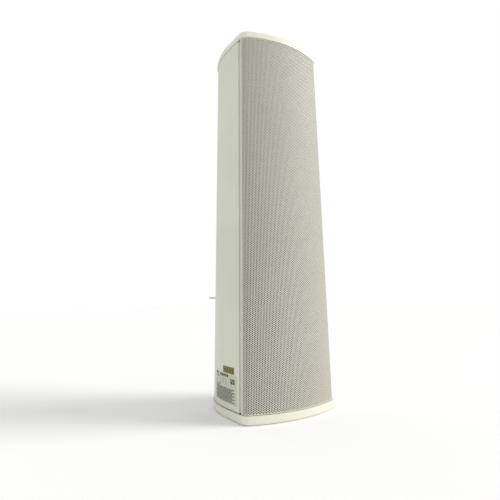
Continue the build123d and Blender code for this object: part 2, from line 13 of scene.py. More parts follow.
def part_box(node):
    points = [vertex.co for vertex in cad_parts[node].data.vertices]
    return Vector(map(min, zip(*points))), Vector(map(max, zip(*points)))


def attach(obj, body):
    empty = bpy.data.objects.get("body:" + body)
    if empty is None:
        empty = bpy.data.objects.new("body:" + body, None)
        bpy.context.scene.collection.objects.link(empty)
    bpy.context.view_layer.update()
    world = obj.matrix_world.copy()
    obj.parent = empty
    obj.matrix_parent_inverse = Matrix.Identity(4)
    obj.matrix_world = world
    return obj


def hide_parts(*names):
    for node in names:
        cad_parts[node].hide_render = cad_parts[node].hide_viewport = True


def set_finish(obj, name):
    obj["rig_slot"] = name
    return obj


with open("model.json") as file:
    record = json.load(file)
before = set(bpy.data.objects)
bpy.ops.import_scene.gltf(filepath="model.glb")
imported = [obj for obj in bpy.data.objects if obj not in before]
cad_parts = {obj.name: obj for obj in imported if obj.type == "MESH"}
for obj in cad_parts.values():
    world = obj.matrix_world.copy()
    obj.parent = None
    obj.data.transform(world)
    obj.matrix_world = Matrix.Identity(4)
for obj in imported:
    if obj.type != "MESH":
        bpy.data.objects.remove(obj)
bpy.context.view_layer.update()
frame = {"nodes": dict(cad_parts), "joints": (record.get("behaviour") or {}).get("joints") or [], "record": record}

bl_info = {
    "name": "Column Loudspeaker",
    "version": (1, 0, 0),
    "blender": (4, 5, 0),
    "location": "View3D > Sidebar > Loudspeaker",
    "description": "Builds the finish and fine parts of a wall-mounted column loudspeaker",
    "category": "Object",
}

TURN = 2 * math.pi
PANELS = 4  # the perforated field is made in this many lengths
BODY = "column"


# ---- Settings that a user would change ----
def length(name, description, default):
    return bpy.props.FloatProperty(
        name=name, description=description, default=default, min=0.0, unit="LENGTH", precision=5
    )


def colour(name, description, default):
    return bpy.props.FloatVectorProperty(
        name=name, description=description, default=default, size=3, min=0.0, max=1.0, subtype="COLOR"
    )


class ColumnSizes(bpy.types.PropertyGroup):
    """The cross-section of the column"""

    body_width: length("Body Width", "Width across the front corners", 0.148)
    front_rise: length("Front Rise", "How far the front bows out past its corners", 0.0175)
    side_depth: length("Side Depth", "Front corners to rear face", 0.115)
    side_bow: length("Side Bow", "How far each side bows out past the front corners", 0.0013)
    rear_side_radius: length("Rear Side Radius", "Curve of each side behind its widest point", 0.139)
    corner_radius: length("Corner Radius", "Radius of the front corners", 0.0125)


class GrilleSizes(bpy.types.PropertyGroup):
    """The perforated sheet"""

    gauge: length("Gauge", "Thickness of the steel sheet", 0.0008)
    hole: length("Hole", "Diameter of one perforation", 0.00176)
    edge_return: length("Edge Return", "How far the sheet wraps behind the front corners", 0.0075)
    side_margin: length("Side Margin", "Plain strip along each long edge", 0.0036)
    end_margin: length("End Margin", "Plain strip at each end", 0.0007)
    columns: bpy.props.IntProperty(
        name="Columns", description="Columns of perforations, an odd number", default=75, min=3
    )
    rows: bpy.props.IntProperty(
        name="Rows", description="Perforations in one column of one length", default=54, min=2
    )


class FinishColours(bpy.types.PropertyGroup):
    """Colours of the outside"""

    shell: colour("Shell", "Coat on the extruded body", (0.69, 0.705, 0.595))
    grille: colour("Grille", "Coat on the perforated sheet", (0.62, 0.605, 0.53))
    cap: colour("Caps", "Moulded end caps", (0.79, 0.775, 0.66))
    bracket: colour("Brackets", "Coat on the wall brackets", (0.66, 0.66, 0.60))
    cloth: colour("Cloth", "Acoustic cloth behind the grille", (0.012, 0.012, 0.011))
    label: colour("Label", "Data label film", (0.56, 0.57, 0.47))
    plate: colour("Plate", "Small gold plate above the label", (0.24, 0.205, 0.02))


# ---- Nodes ----
def feed(tree, node, feeds):
    """Links each input to a socket or sets it to a value."""
    for key, value in feeds.items():
        if isinstance(value, bpy.types.NodeSocket):
            tree.links.new(value, node.inputs[key])
        else:
            node.inputs[key].default_value = value


def add_node(tree, kind, feeds=None, **settings):
    """A new node with its settings and inputs; returns its outputs."""
    node = tree.nodes.new(kind)
    for label, value in settings.items():
        setattr(node, label, value)
    feed(tree, node, feeds or {})
    return node.outputs


# ---- Shader node groups ----
def shader_group(name, inputs, outputs):
    """An empty shader group with named sockets; returns the tree, its given sockets and its output node."""
    tree = bpy.data.node_groups.new(name, "ShaderNodeTree")
    for label, kind, value in inputs:
        socket = tree.interface.new_socket(label, in_out="INPUT", socket_type=kind)
        socket.default_value = value
    for label, kind in outputs:
        tree.interface.new_socket(label, in_out="OUTPUT", socket_type=kind)
    return tree, add_node(tree, "NodeGroupInput"), tree.nodes.new("NodeGroupOutput")


def noise(tree, vector, scale, detail=2.0, roughness=0.5):
    feeds = {"Vector": vector, "Scale": scale, "Detail": detail, "Roughness": roughness}
    return add_node(tree, "ShaderNodeTexNoise", feeds)["Fac"]


def spread(tree, value, low, high):
    """Maps a 0 to 1 value to a range."""
    return add_node(tree, "ShaderNodeMapRange", {"Value": value, "To Min": low, "To Max": high})["Result"]


def ramp(tree, value, start, stop):
    """A soft threshold between two values."""
    feeds = {"Value": value, "From Min": start, "From Max": stop}
    return add_node(tree, "ShaderNodeMapRange", feeds, interpolation_type="SMOOTHSTEP")["Result"]


def arithmetic(tree, operation, first, second=0.0):
    return add_node(tree, "ShaderNodeMath", {0: first, 1: second}, operation=operation)[0]


def mixed(tree, factor, first, second):
    """Mixes two RGBA colours; each is a colour or a socket."""
    return add_node(tree, "ShaderNodeMix", {0: factor, 6: first, 7: second}, data_type="RGBA")[2]


def opaque(tint):
    return (*tint, 1.0)


def object_coordinates(tree):
    return add_node(tree, "ShaderNodeTexCoord")["Object"]


def coat_group():
    """Sprayed or moulded surface: slight colour drift, uneven gloss and a fine skin texture."""
    tree, given, result = shader_group(
        "Coat Skin",
        [
            ("Color", "NodeSocketColor", (0.8, 0.8, 0.8, 1.0)),
            ("Drift", "NodeSocketFloat", 0.04),
            ("Roughness", "NodeSocketFloat", 0.45),
            ("Grain Scale", "NodeSocketFloat", 900.0),
        ],
        [("Color", "NodeSocketColor"), ("Roughness", "NodeSocketFloat"), ("Height", "NodeSocketFloat")],
    )
    where = object_coordinates(tree)
    drift = ramp(tree, noise(tree, where, 9.0, 3.0), 0.35, 0.65)
    shade = {0: given["Color"], "Scale": arithmetic(tree, "SUBTRACT", 1.0, given["Drift"])}
    darker = add_node(tree, "ShaderNodeVectorMath", shade, operation="SCALE")[0]
    gloss = spread(tree, noise(tree, where, 60.0, 2.0), -0.05, 0.05)
    results = {
        "Color": mixed(tree, drift, given["Color"], darker),
        "Roughness": arithmetic(tree, "ADD", given["Roughness"], gloss),
        "Height": noise(tree, where, given["Grain Scale"], 1.0),
    }
    feed(tree, result, results)
    return tree


def soil_group():
    """Faint grey handling marks and settled dust on faces that look up."""
    tree, given, result = shader_group(
        "Soil",
        [
            ("Color", "NodeSocketColor", (0.8, 0.8, 0.8, 1.0)),
            ("Soil Color", "NodeSocketColor", (0.30, 0.29, 0.25, 1.0)),
            ("Amount", "NodeSocketFloat", 0.15),
        ],
        [("Color", "NodeSocketColor")],
    )
    where = object_coordinates(tree)
    patches = ramp(tree, noise(tree, where, 22.0, 6.0, 0.65), 0.52, 0.78)
    specks = ramp(tree, noise(tree, where, 420.0, 3.0), 0.62, 0.80)
    normal = add_node(tree, "ShaderNodeNewGeometry")["Normal"]
    facing = add_node(tree, "ShaderNodeSeparateXYZ", {0: normal})
    upward = arithmetic(tree, "MAXIMUM", facing["Z"], 0.0)
    settled = arithmetic(tree, "MULTIPLY", upward, 0.5)
    both = arithmetic(tree, "MAXIMUM", patches, specks)
    total = arithmetic(tree, "MAXIMUM", both, settled)
    mask = arithmetic(tree, "MULTIPLY", total, given["Amount"])
    feed(tree, result, {"Color": mixed(tree, mask, given["Color"], given["Soil Color"])})
    return tree


def weave_group():
    """Crossed threads, as height and as a mask of the gaps between them."""
    tree, given, result = shader_group(
        "Weave",
        [("Threads", "NodeSocketFloat", 9000.0)],
        [("Height", "NodeSocketFloat"), ("Gaps", "NodeSocketFloat")],
    )
    split = add_node(tree, "ShaderNodeSeparateXYZ", {0: object_coordinates(tree)})
    turns = [arithmetic(tree, "MULTIPLY", split[axis], given["Threads"]) for axis in ("X", "Z")]
    threads = arithmetic(tree, "MAXIMUM", *(arithmetic(tree, "SINE", turn) for turn in turns))
    feed(tree, result, {"Height": threads, "Gaps": ramp(tree, threads, 0.1, -0.5)})
    return tree


def streak_group():
    """Drawn or brushed metal: long fine streaks."""
    tree, given, result = shader_group(
        "Streaks",
        [("Stretch", "NodeSocketVector", (900.0, 900.0, 40.0))],
        [("Height", "NodeSocketFloat"), ("Roughness", "NodeSocketFloat")],
    )
    stretch = {0: object_coordinates(tree), 1: given["Stretch"]}
    scaled = add_node(tree, "ShaderNodeVectorMath", stretch, operation="MULTIPLY")[0]
    lines = noise(tree, scaled, 1.0, 4.0)
    feed(tree, result, {"Height": lines, "Roughness": spread(tree, lines, 0.24, 0.46)})
    return tree


def shared_groups():
    return {"coat": coat_group(), "soil": soil_group(), "weave": weave_group(), "streaks": streak_group()}


# ---- Materials ----
def material(name):
    """Makes a material and returns its tree and shader; the frame's plain one gives up the name."""
    if name in bpy.data.materials:
        bpy.data.materials[name].name = f"{name}_plain"
    made = bpy.data.materials.new(name)
    made.use_nodes = True
    return made.node_tree, made.node_tree.nodes["Principled BSDF"]


def place_group(tree, group, feeds):
    return add_node(tree, "ShaderNodeGroup", feeds, node_tree=group)


def bump(tree, height, distance):
    feeds = {"Height": height, "Distance": distance, "Strength": 1.0}
    return add_node(tree, "ShaderNodeBump", feeds)["Normal"]


def coated(
    groups, name, tint, roughness, drift=0.04, grain=900.0, depth=0.00002, soil=0.10, coat=0.0, metallic=0.0
):
    """Paint, powder coat, moulded plastic or rubber."""
    tree, shader = material(name)
    feeds = {"Color": opaque(tint), "Drift": drift, "Roughness": roughness, "Grain Scale": grain}
    skin = place_group(tree, groups["coat"], feeds)
    marks = place_group(tree, groups["soil"], {"Color": skin["Color"], "Amount": soil})
    look = {
        "Base Color": marks["Color"],
        "Roughness": skin["Roughness"],
        "Coat Weight": coat,
        "Coat Roughness": 0.2,
        "Metallic": metallic,
        "Normal": bump(tree, skin["Height"], depth),
    }
    feed(tree, shader, look)


def metal(groups, name, tint, stretch, depth=0.000008, soil=0.12):
    """Bare or plated metal with drawn streaks."""
    tree, shader = material(name)
    lines = place_group(tree, groups["streaks"], {"Stretch": stretch})
    marks = place_group(tree, groups["soil"], {"Color": opaque(tint), "Amount": soil})
    look = {
        "Base Color": marks["Color"],
        "Roughness": lines["Roughness"],
        "Metallic": 1.0,
        "Normal": bump(tree, lines["Height"], depth),
    }
    feed(tree, shader, look)


def woven(groups, name, tint, threads, depth=0.0001):
    """Cloth with crossed threads and darker gaps."""
    tree, shader = material(name)
    weave = place_group(tree, groups["weave"], {"Threads": threads})
    shadow = [part * 0.25 for part in tint]
    look = {
        "Base Color": mixed(tree, weave["Gaps"], opaque(tint), opaque(shadow)),
        "Roughness": 0.9,
        "Sheen Weight": 0.2,
        "Normal": bump(tree, weave["Height"], depth),
    }
    feed(tree, shader, look)


def finishes():
    """Makes every finish, named as its slot in the record."""
    tint = bpy.context.scene.speaker_colours
    shared = shared_groups()
    coat, drawn, weave = (partial(kind, shared) for kind in (coated, metal, woven))
    black = (0.02, 0.02, 0.021)
    coat("shell_paint", tint.shell, 0.42, 0.05, 1100.0, 0.00002, 0.07)
    coat("grille_paint", tint.grille, 0.6, 0.03, 1500.0, 0.00001, 0.05)
    coat("cap_plastic", tint.cap, 0.46, 0.04, 2200.0, 0.000012, 0.06)
    coat("bracket_paint", tint.bracket, 0.4, 0.04, 1300.0, 0.00002, 0.12)
    weave("acoustic_cloth", tint.cloth, 9000.0)
    coat("baffle_board", black, 0.7, 0.2, 600.0, 0.00008, 0.1)
    coat("seal_rubber", (0.07, 0.07, 0.065), 0.75, 0.1, 1800.0, 0.00003, 0.1)
    drawn("zinc_steel", (0.62, 0.63, 0.64), (400.0, 400.0, 1600.0))
    coat("black_steel", (0.03, 0.03, 0.03), 0.35, 0.1, 1500.0, metallic=0.6)
    coat("basket_steel", (0.03, 0.03, 0.033), 0.35, 0.05, 1200.0, coat=0.2)
    coat("magnet_ferrite", (0.05, 0.05, 0.055), 0.55, 0.2, 700.0, 0.00006)
    coat("cone_paper", (0.028, 0.027, 0.026), 0.85, 0.3, 500.0, 0.00015, 0.05)
    coat("surround_rubber", (0.015, 0.015, 0.015), 0.6, 0.1, 1600.0)
    weave("spider_cloth", (0.42, 0.24, 0.07), 6000.0)
    drawn("core_steel", (0.30, 0.30, 0.31), (6000.0, 30.0, 30.0), 0.00005)
    coat("winding_tape", (0.60, 0.38, 0.05), 0.3, 0.08, 300.0, 0.00005, coat=0.3)
    coat("block_plastic", (0.72, 0.72, 0.69), 0.4, 0.03, 1200.0)
    coat("gland_plastic", (0.58, 0.58, 0.55), 0.42, 0.04, 1600.0)
    coat("lead_sheath", (0.02, 0.02, 0.02), 0.5, 0.1, 1400.0)
    coat("wadding_fibre", (0.80, 0.80, 0.77), 0.95, 0.1, 260.0, 0.0008)
    coat("label_film", tint.label, 0.5, 0.02, 2000.0, 0.000004, 0.05)
    coat("gold_film", tint.plate, 0.32, 0.15, 800.0, 0.000006, 0.1, metallic=0.4)
    coat("washer_nylon", (0.80, 0.80, 0.77), 0.4, 0.03, 1500.0)
    coat("label_print", (0.05, 0.05, 0.045), 0.6, 0.1, 1500.0, 0.000004)


def finish(name):
    return bpy.data.materials[name]


# ---- Mesh helpers ----
def piece(name, mesh, slot_name, body=BODY, replaced=()):
    """Puts a finished mesh in the scene as a piece of a body."""
    made = bpy.data.objects.new(name, mesh)
    bpy.context.scene.collection.objects.link(made)
    if not mesh.materials:
        mesh.materials.append(finish(slot_name))
    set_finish(made, slot_name)
    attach(made, body)
    if replaced:
        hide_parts(*replaced)
    return made


def mesh_from(name, vertices, faces):
    mesh = bpy.data.meshes.new(name)
    mesh.from_pydata(vertices, [], faces)
    mesh.validate()
    return mesh


def mesh_of(shape, name):
    """A mesh with the shape of a bmesh, which it frees."""
    mesh = bpy.data.meshes.new(name)
    shape.to_mesh(mesh)
    shape.free()
    return mesh


def temporary(name, mesh):
    """An object that only feeds a node tree or a modifier."""
    made = bpy.data.objects.new(name, mesh)
    bpy.context.scene.collection.objects.link(made)
    return made


def evaluated_mesh(thing, name):
    """The object's mesh with its modifiers applied; the object itself is removed."""
    graph = bpy.context.evaluated_depsgraph_get()
    mesh = bpy.data.meshes.new_from_object(thing.evaluated_get(graph))
    mesh.name = name
    bpy.data.objects.remove(thing)
    return mesh


def smooth(mesh, degrees=35.0):
    """Rounded shading with edges sharper than an angle left crisp."""
    mesh.shade_smooth()
    mesh.set_sharp_from_angle(angle=math.radians(degrees))
    return mesh


def lathe(profile, segments=48):
    """A closed solid turned about Z from (radius, z) points that start and end on the axis."""
    shape = bmesh.new()
    rings = []
    for radius, z in profile:
        if radius == 0:
            rings.append([shape.verts.new((0, 0, z))])
        else:
            angles = (TURN * index / segments for index in range(segments))
            rings.append([shape.verts.new((radius * math.cos(a), radius * math.sin(a), z)) for a in angles])
    for low, high in zip(rings, rings[1:]):
        for index in range(segments):
            after = (index + 1) % segments
            round_face = ((low, index), (low, after), (high, after), (high, index))
            corners = [ring[step % len(ring)] for ring, step in round_face]
            unique = list(dict.fromkeys(corners))
            if len(unique) > 2:
                shape.faces.new(unique)
    bmesh.ops.recalc_face_normals(shape, faces=shape.faces)
    return shape


# ---- The cross-section ----
def on_circle(centre, radius, angle):
    return Vector((centre.x + radius * math.cos(angle), centre.y + radius * math.sin(angle)))


def circle_meeting(first, first_radius, second, second_radius):
    """Where two circles cross, on the side towards -Y and +X."""
    between = second - first
    gap = between.length
    along = (first_radius**2 - second_radius**2 + gap**2) / (2 * gap)
    off = math.sqrt(first_radius**2 - along**2)
    direction = between / gap
    base = first + direction * along
    sides = [base + Vector((-direction.y, direction.x)) * step for step in (off, -off)]
    return min(sides, key=lambda point: point.y)


def steps(start, stop, count):
    return [start + (stop - start) * index / count for index in range(count + 1)]


def angle_of(vector):
    return math.atan2(vector.y, vector.x)


def corner_depth():
    """Y of the front corners; each side is widest at Y = 0."""
    sizes = bpy.context.scene.speaker_column
    return (sizes.front_rise - sizes.side_depth) / 2


def front_side_radius():
    """The flat arc of each side in front of its widest point."""
    bow = bpy.context.scene.speaker_column.side_bow
    return (corner_depth() ** 2 + bow**2) / (2 * bow)


def cut_at_depth(points, depth):
    """The points in front of a depth, and one more where the path reaches it."""
    kept = [points[0]]
    for a, b in zip(points, points[1:]):
        if b.y >= depth:
            kept.append(a.lerp(b, (depth - a.y) / (b.y - a.y)))
            break
        kept.append(b)
    return kept


def front_path(back, grow=0.0):
    """Points round the front of the cross-section, left to right, each end that far behind the corners."""
    sizes = bpy.context.scene.speaker_column
    half = sizes.body_width / 2
    corner_y = corner_depth()
    front_radius = (half**2 + sizes.front_rise**2) / (2 * sizes.front_rise)
    side_radius = front_side_radius()
    front_centre = Vector((0, corner_y - sizes.front_rise + front_radius))
    side_centre = Vector((half + sizes.side_bow - side_radius, 0))
    radius = sizes.corner_radius
    corner = circle_meeting(front_centre, front_radius - radius, side_centre, side_radius - radius)
    meets_front = angle_of(corner - front_centre)
    meets_side = angle_of(corner - side_centre)
    beyond = meets_side + 0.02  # past every end that is asked for
    right = [on_circle(front_centre, front_radius + grow, a) for a in steps(-TURN / 4, meets_front, 90)]
    right += [on_circle(corner, radius + grow, a) for a in steps(meets_front, meets_side, 20)[1:]]
    right += [on_circle(side_centre, side_radius + grow, a) for a in steps(meets_side, beyond, 12)[1:]]
    right = cut_at_depth(right, corner_y + back)
    left = [Vector((-point.x, point.y)) for point in reversed(right[1:])]
    return left + right


def path_length(points):
    return sum((b - a).length for a, b in zip(points, points[1:]))


def path_object(name, points):
    """A chain of edges for a node tree to read as a curve."""
    mesh = bpy.data.meshes.new(name)
    mesh.from_pydata([(p.x, p.y, 0) for p in points], [(i, i + 1) for i in range(len(points) - 1)], [])
    return temporary(name, mesh)


# ---- Geometry Nodes helpers ----
class NodeBuild:
    """A Geometry Nodes tree with short calls for adding and linking its nodes."""

    def __init__(self, name, inputs):
        self.tree = bpy.data.node_groups.new(name, "GeometryNodeTree")
        self.tree.interface.new_socket("Geometry", in_out="INPUT", socket_type="NodeSocketGeometry")
        self.sockets = {}
        for label, kind in inputs:
            self.sockets[label] = self.tree.interface.new_socket(label, in_out="INPUT", socket_type=kind)
        self.tree.interface.new_socket("Geometry", in_out="OUTPUT", socket_type="NodeSocketGeometry")
        self.given = self.add("NodeGroupInput")
        self.result = self.tree.nodes.new("NodeGroupOutput").inputs[0]

    def add(self, kind, feeds=None, **settings):
        return add_node(self.tree, kind, feeds, **settings)

    def sum(self, operation, first, second=0.0):
        return self.add("ShaderNodeMath", {0: first, 1: second}, operation=operation)[0]

    def vector(self, x=0.0, y=0.0, z=0.0):
        return self.add("ShaderNodeCombineXYZ", {0: x, 1: y, 2: z})[0]

    def close(self, geometry):
        """Ends the tree in Realize Instances and Set Material."""
        real = self.add("GeometryNodeRealizeInstances", {"Geometry": geometry})[0]
        inputs = {"Geometry": real, "Material": self.given["Material"]}
        self.tree.links.new(self.add("GeometryNodeSetMaterial", inputs)[0], self.result)

    def apply_to(self, thing, **values):
        modifier = thing.modifiers.new("nodes", "NODES")
        modifier.node_group = self.tree
        for label, value in values.items():
            modifier[self.sockets[label.replace("_", " ")].identifier] = value


def perforation_tree():
    """Staggered cells with holes, laid out flat, then wrapped along a curve."""
    build = NodeBuild(
        "Perforated Sheet",
        [
            ("Cell", "NodeSocketObject"),
            ("Filler", "NodeSocketObject"),
            ("Columns", "NodeSocketInt"),
            ("Rows", "NodeSocketInt"),
            ("Column Spacing", "NodeSocketFloat"),
            ("Pitch", "NodeSocketFloat"),
            ("Bottom", "NodeSocketFloat"),
            ("Fill Bottom", "NodeSocketBool"),
            ("Fill Top", "NodeSocketBool"),
            ("Material", "NodeSocketMaterial"),
        ],
    )
    given = build.given
    times, plus = partial(build.sum, "MULTIPLY"), partial(build.sum, "ADD")
    half_pitch = times(given["Pitch"], 0.5)
    width = times(build.sum("SUBTRACT", given["Columns"], 1.0), given["Column Spacing"])
    height = times(build.sum("SUBTRACT", given["Rows"], 1.0), given["Pitch"])
    grid = build.add(
        "GeometryNodeMeshGrid",
        {"Size X": width, "Size Y": height, "Vertices X": given["Columns"], "Vertices Y": given["Rows"]},
    )[0]
    index = build.add("GeometryNodeInputIndex")[0]
    column = build.sum("FLOOR", build.sum("DIVIDE", index, given["Rows"]))
    odd = build.sum("MODULO", column, 2.0)
    middle = times(times(given["Rows"], given["Pitch"]), 0.5)
    lift = plus(middle, times(odd, half_pitch))
    staggered = build.add("GeometryNodeSetPosition", {"Geometry": grid, "Offset": build.vector(y=lift)})[0]
    cell = build.add("GeometryNodeObjectInfo", {"Object": given["Cell"]})["Geometry"]
    cells = build.add("GeometryNodeInstanceOnPoints", {"Points": staggered, "Instance": cell})[0]

    # plain half cells close the ends of the columns that stop short
    filler = build.add("GeometryNodeObjectInfo", {"Object": given["Filler"]})["Geometry"]
    start = build.vector(x=times(width, -0.5))
    step = build.vector(x=given["Column Spacing"])
    line = build.add(
        "GeometryNodeMeshLine", {"Count": given["Columns"], "Start Location": start, "Offset": step}
    )[0]
    place = build.add("GeometryNodeInputIndex")[0]
    parity = build.sum("MODULO", place, 2.0)
    quarter = times(given["Pitch"], 0.25)
    top = plus(times(given["Rows"], given["Pitch"]), quarter)
    ends = []
    for wanted, switch, level in ((1.0, "Fill Bottom", quarter), (0.0, "Fill Top", top)):
        moved = build.add("GeometryNodeSetPosition", {"Geometry": line, "Offset": build.vector(y=level)})[0]
        same = {0: parity, 1: wanted}
        chosen = build.add("FunctionNodeCompare", same, operation="EQUAL", data_type="FLOAT")[0]
        kept = build.add("FunctionNodeBooleanMath", {0: chosen, 1: given[switch]}, operation="AND")[0]
        placed = {"Points": moved, "Selection": kept, "Instance": filler}
        ends.append(build.add("GeometryNodeInstanceOnPoints", placed)[0])
    joined = build.tree.nodes.new("GeometryNodeJoinGeometry")
    for part in (cells, *ends):
        build.tree.links.new(part, joined.inputs[0])
    real = build.add("GeometryNodeRealizeInstances", {"Geometry": joined.outputs[0]})[0]
    welded = build.add("GeometryNodeMergeByDistance", {"Geometry": real, "Distance": 0.00002})[0]

    # wrap: distance across becomes distance along the curve
    curve = build.add("GeometryNodeMeshToCurve", {"Mesh": given["Geometry"]})[0]
    total = build.add("GeometryNodeCurveLength", {"Curve": curve})[0]
    flat = build.add("ShaderNodeSeparateXYZ", {0: build.add("GeometryNodeInputPosition")[0]})
    along = plus(times(total, 0.5), flat[0])
    reached = {"Curves": curve, "Length": along}
    sampled = build.add("GeometryNodeSampleCurve", reached, mode="LENGTH", use_all_curves=True)
    spot = build.add("ShaderNodeSeparateXYZ", {0: sampled["Position"]})
    raised = plus(flat[1], given["Bottom"])
    wrapped = build.add(
        "GeometryNodeSetPosition", {"Geometry": welded, "Position": build.vector(spot[0], spot[1], raised)}
    )[0]
    build.close(wrapped)
    return build


def instances_tree():
    """One object set on every vertex of the modified mesh, all turned the same way."""
    build = NodeBuild(
        "Set On Points",
        [
            ("Thing", "NodeSocketObject"),
            ("Turn", "NodeSocketVector"),
            ("Material", "NodeSocketMaterial"),
        ],
    )
    thing = build.add("GeometryNodeObjectInfo", {"Object": build.given["Thing"]})["Geometry"]
    placed = build.add(
        "GeometryNodeInstanceOnPoints",
        {"Points": build.given["Geometry"], "Instance": thing, "Rotation": build.given["Turn"]},
    )[0]
    build.close(placed)
    return build


def set_on_points(name, source, places, turn, slot_name):
    """A plain mesh that repeats the source at each place."""
    mesh = bpy.data.meshes.new(name)
    mesh.from_pydata(places, [], [])
    holder = temporary(name, mesh)
    instances_tree().apply_to(holder, Thing=source, Turn=turn, Material=finish(slot_name))
    return evaluated_mesh(holder, name)


# ---- Grille ----
def ring_triangles(outer, inner, first_inner):
    """Faces between two loops that go round the same way, matched by angle."""

    def turn_of(point):
        return math.atan2(point[1], point[0]) % TURN

    faces = []
    a = b = 0
    outer_count, inner_count = len(outer), len(inner)
    base = turn_of(outer[0])
    outer_turns = [(turn_of(p) - base) % TURN for p in outer] + [TURN]
    inner_turns = [(turn_of(p) - base + 1e-9) % TURN for p in inner] + [TURN + 0.01]
    while a < outer_count or b < inner_count:
        outer_here, inner_here = a % outer_count, first_inner + b % inner_count
        if b >= inner_count or (a < outer_count and outer_turns[a + 1] <= inner_turns[b + 1]):
            faces.append((outer_here, (a + 1) % outer_count, inner_here))
            a += 1
        else:
            faces.append((outer_here, first_inner + (b + 1) % inner_count, inner_here))
            b += 1
    return faces


def hole_cell(spacing, pitch, radius, sides=8):
    """One face of the sheet round one hole, flat; its side edges carry the next column's corners."""
    x, y = spacing / 2, pitch / 2
    outer = [(x, 0), (x, y), (-x, y), (-x, 0), (-x, -y), (x, -y)]
    inner = [
        (radius * math.cos(TURN * index / sides), radius * math.sin(TURN * index / sides))
        for index in range(sides)
    ]
    vertices = [(*point, 0) for point in outer + inner]
    return mesh_from("hole_cell", vertices, ring_triangles(outer, inner, len(outer)))


def plain_cell(spacing, pitch):
    """Half a cell without a hole."""
    x, y = spacing / 2, pitch / 4
    return mesh_from("plain_cell", [(-x, -y, 0), (x, -y, 0), (x, y, 0), (-x, y, 0)], [(0, 1, 2, 3)])


def thicken(thing, gauge):
    """Adds a sheet's thickness, inward."""
    modifier = thing.modifiers.new("gauge", "SOLIDIFY")
    modifier.thickness = gauge
    modifier.offset = -1.0
    modifier.use_even_offset = True


def between_lengths(points, start, stop):
    """The stretch of a path between two distances along it."""
    kept, walked = [], 0.0
    for a, b in zip(points, points[1:]):
        step = (b - a).length
        if walked <= start < walked + step:
            kept.append(a.lerp(b, (start - walked) / step))
        if start < walked + step <= stop:
            kept.append(b)
        if walked < stop < walked + step:
            kept.append(a.lerp(b, (stop - walked) / step))
        walked += step
    return kept


def wall_strip(points, low, high, rows=1):
    """A sheet that stands on a path between two heights."""
    levels = steps(low, high, rows)
    vertices = [(p.x, p.y, z) for z in levels for p in points]
    count = len(points)
    faces = [
        (row * count + i, row * count + i + 1, (row + 1) * count + i + 1, (row + 1) * count + i)
        for row in range(rows)
        for i in range(count - 1)
    ]
    return vertices, faces


def joined_mesh(name, parts):
    """Several (vertices, faces) as one mesh with separate shells."""
    vertices, faces = [], []
    for some_vertices, some_faces in parts:
        first = len(vertices)
        vertices += some_vertices
        faces += [tuple(first + corner for corner in face) for face in some_faces]
    return mesh_from(name, vertices, faces)


class SPEAKER_OT_grille(bpy.types.Operator):
    """Perforated steel sheet that wraps round the front, with its plain borders"""

    bl_idname = "speaker.grille"
    bl_label = "Build Grille"

    def execute(self, context):
        sizes = context.scene.speaker_grille
        low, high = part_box("front_grille")
        path = front_path(sizes.edge_return)
        total = path_length(path)
        spacing = (total - 2 * sizes.side_margin) / sizes.columns
        bottom = low.z + sizes.end_margin
        rows = sizes.rows * PANELS
        pitch = (high.z - low.z - 2 * sizes.end_margin) / (rows + 0.5)
        cell = temporary("cell", hole_cell(spacing, pitch, sizes.hole / 2))
        filler = temporary("filler", plain_cell(spacing, pitch))
        tree = perforation_tree()
        for number in range(PANELS):
            panel = path_object("panel", path)
            tree.apply_to(
                panel,
                Cell=cell,
                Filler=filler,
                Columns=sizes.columns,
                Rows=sizes.rows,
                Column_Spacing=spacing,
                Pitch=pitch,
                Bottom=bottom + number * sizes.rows * pitch,
                Fill_Bottom=number == 0,
                Fill_Top=number == PANELS - 1,
                Material=finish("grille_paint"),
            )
            thicken(panel, sizes.gauge)
            mesh = smooth(evaluated_mesh(panel, f"grille_field_{number + 1}"))
            piece(mesh.name, mesh, "grille_paint", replaced=["front_grille"])
        bpy.data.objects.remove(cell)
        bpy.data.objects.remove(filler)
        self.borders(path, total, bottom, bottom + (rows + 0.5) * pitch)
        return {"FINISHED"}

    def borders(self, path, total, field_bottom, field_top):
        """Plain strips round the perforated field."""
        sizes = bpy.context.scene.speaker_grille
        low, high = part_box("front_grille")
        left = between_lengths(path, 0.0, sizes.side_margin)
        right = between_lengths(path, total - sizes.side_margin, total + 1)
        across = between_lengths(path, sizes.side_margin, total - sizes.side_margin)
        strips = [
            wall_strip(left, low.z, high.z),
            wall_strip(right, low.z, high.z),
            wall_strip(across, low.z, field_bottom),
            wall_strip(across, field_top, high.z),
        ]
        border = temporary("border", joined_mesh("border", strips))
        thicken(border, sizes.gauge)
        mesh = smooth(evaluated_mesh(border, "grille_border"))
        piece(mesh.name, mesh, "grille_paint", replaced=["front_grille"])


class SPEAKER_OT_cloth(bpy.types.Operator):
    """Thin acoustic cloth stretched behind the grille"""

    bl_idname = "speaker.cloth"
    bl_label = "Build Grille Cloth"

    def execute(self, context):
        low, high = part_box("grille_cloth")
        inset = 0.0011
        path = front_path(high.y - corner_depth(), -inset)
        gauge = 0.0005
        cloth = temporary("cloth", joined_mesh("cloth", [wall_strip(path, low.z, high.z, 60)]))
        thicken(cloth, gauge)
        mesh = smooth(evaluated_mesh(cloth, "acoustic_cloth"))
        made = piece(mesh.name, mesh, "acoustic_cloth", replaced=["grille_cloth"])
        return {"FINISHED"}


# ---- Label ----
FILM = 0.00018  # how far a label stands out from the side
PRINT = (0.00021, FILM)  # the outside and inside of the print


def side_x(y, grow=0.0):
    """The left side's X at a depth."""
    sizes = bpy.context.scene.speaker_column
    radius = front_side_radius() if y < 0 else sizes.rear_side_radius
    centre_x = radius - sizes.body_width / 2 - sizes.side_bow
    return centre_x - math.sqrt((radius + grow) ** 2 - y**2)


